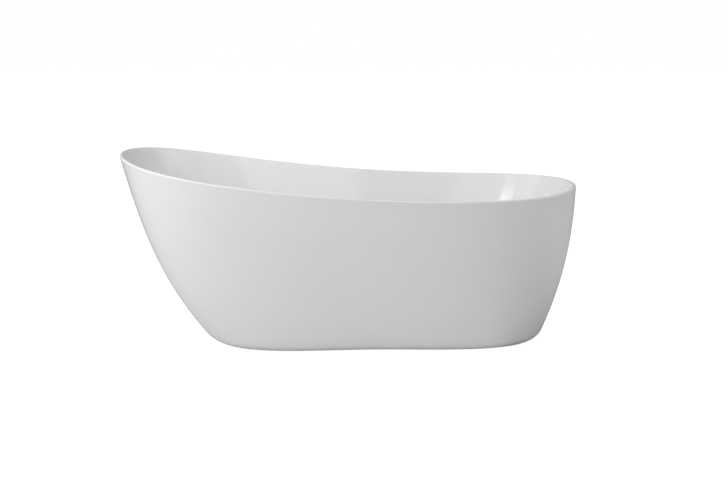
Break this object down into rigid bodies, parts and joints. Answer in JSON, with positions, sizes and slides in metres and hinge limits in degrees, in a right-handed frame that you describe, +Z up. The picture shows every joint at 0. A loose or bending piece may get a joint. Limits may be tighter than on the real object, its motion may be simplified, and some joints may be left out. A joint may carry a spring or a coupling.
{
  "type": "freestanding bathtub",
  "caption": "Freestanding single slipper bathtub: double-walled acrylic tub with a raised head end, steel underframe, screw feet, waste with spring stopper and overflow.",
  "frame": {"origin": "on the floor under the middle of the tub's box, at the level of the feet", "axes": "+X towards the foot (low, drain) end, -X towards the raised head end, +Z up, Y across the tub"},
  "size_m": [1.7, 0.7518, 0.7074],
  "materials": {
    "acrylic": "high gloss white acrylic sheet on a glass fibre backing",
    "laminate": "rough glass fibre and polyester laminate",
    "adhesive": "cured structural adhesive",
    "board": "birch plywood",
    "galvanised": "galvanised steel",
    "zinc": "zinc plated steel",
    "stainless": "stainless steel",
    "brass": "turned brass",
    "chrome": "polished chrome",
    "pvc": "moulded white plastic",
    "hose": "ribbed grey plastic hose",
    "seal": "black rubber",
    "pad": "moulded black rubber",
    "plug": "black plastic plug"
  },
  "bodies": {
    "tub": {"inner_basin": "acrylic", "outer_skirt": "acrylic", "rim_bond": "adhesive", "skirt_stiffener": "laminate", "base_board": "board", "resin_bed": "laminate", "frame_rails": "galvanised", "frame_crossbars": "galvanised", "rail_end_caps": "plug", "board_screws": "zinc", "skirt_brackets": "galvanised", "bracket_pads": "pad", "bracket_screws": "zinc", "foot_weld_nuts": "zinc", "foot_lock_nuts": "zinc", "waste_flange": "chrome", "waste_upper_seal": "seal", "waste_lower_seal": "seal", "waste_body": "pvc", "tail_nut": "pvc", "tail_washer": "seal", "tailpiece": "chrome", "stopper_cartridge": "brass", "overflow_plate": "chrome", "overflow_front_seal": "seal", "overflow_back_seal": "seal", "overflow_body": "pvc", "overflow_screw": "stainless", "overflow_hose": "hose", "hose_clamp_top": "stainless", "hose_clamp_bottom": "stainless"},
    "stopper": {"stopper_cap": "chrome", "stopper_seal": "seal", "stopper_stem": "stainless", "stopper_spring": "stainless"},
    "foot_1": {"foot_pad_1": "pad", "foot_cup_1": "zinc"},
    "stud_1": {"foot_stud_1": "zinc"},
    "foot_2": {"foot_pad_2": "pad", "foot_cup_2": "zinc"},
    "stud_2": {"foot_stud_2": "zinc"},
    "foot_3": {"foot_pad_3": "pad", "foot_cup_3": "zinc"},
    "stud_3": {"foot_stud_3": "zinc"},
    "foot_4": {"foot_pad_4": "pad", "foot_cup_4": "zinc"},
    "stud_4": {"foot_stud_4": "zinc"},
    "foot_5": {"foot_pad_5": "pad", "foot_cup_5": "zinc"},
    "stud_5": {"foot_stud_5": "zinc"}
  },
  "joints": [
    {"name": "stopper_travel", "type": "slide", "parent": "tub", "child": "stopper", "axis": [0, 0, 1], "range_m": [-0.008, 0], "stiffness_N_per_m": 300, "springref_m": 0.03, "deforming": ["stopper_spring"]},
    {"name": "foot_1_height", "type": "slide", "parent": "tub", "child": "foot_1", "axis": [0, 0, 1], "range_m": [-0.006, 0.016]},
    {"name": "foot_1_turn", "type": "hinge", "parent": "foot_1", "child": "stud_1", "pos_m": [-0.39, -0.15, 0.03], "axis": [0, 0, 1], "range_deg": [-1300, 3400]},
    {"name": "foot_2_height", "type": "slide", "parent": "tub", "child": "foot_2", "axis": [0, 0, 1], "range_m": [-0.006, 0.016]},
    {"name": "foot_2_turn", "type": "hinge", "parent": "foot_2", "child": "stud_2", "pos_m": [-0.39, 0.15, 0.03], "axis": [0, 0, 1], "range_deg": [-1300, 3400]},
    {"name": "foot_3_height", "type": "slide", "parent": "tub", "child": "foot_3", "axis": [0, 0, 1], "range_m": [-0.006, 0.016]},
    {"name": "foot_3_turn", "type": "hinge", "parent": "foot_3", "child": "stud_3", "pos_m": [0.52, -0.15, 0.03], "axis": [0, 0, 1], "range_deg": [-1300, 3400]},
    {"name": "foot_4_height", "type": "slide", "parent": "tub", "child": "foot_4", "axis": [0, 0, 1], "range_m": [-0.006, 0.016]},
    {"name": "foot_4_turn", "type": "hinge", "parent": "foot_4", "child": "stud_4", "pos_m": [0.52, 0.15, 0.03], "axis": [0, 0, 1], "range_deg": [-1300, 3400]},
    {"name": "foot_5_height", "type": "slide", "parent": "tub", "child": "foot_5", "axis": [0, 0, 1], "range_m": [-0.006, 0.016]},
    {"name": "foot_5_turn", "type": "hinge", "parent": "foot_5", "child": "stud_5", "pos_m": [0.02, 0, 0.03], "axis": [0, 0, 1], "range_deg": [-1300, 3400]}
  ],
  "couplings": [
    {"joint": "foot_1_turn", "follows": "foot_1_height", "rad_per_m": 3590.4},
    {"joint": "foot_2_turn", "follows": "foot_2_height", "rad_per_m": 3590.4},
    {"joint": "foot_3_turn", "follows": "foot_3_height", "rad_per_m": 3590.4},
    {"joint": "foot_4_turn", "follows": "foot_4_height", "rad_per_m": 3590.4},
    {"joint": "foot_5_turn", "follows": "foot_5_height", "rad_per_m": 3590.4}
  ]
}
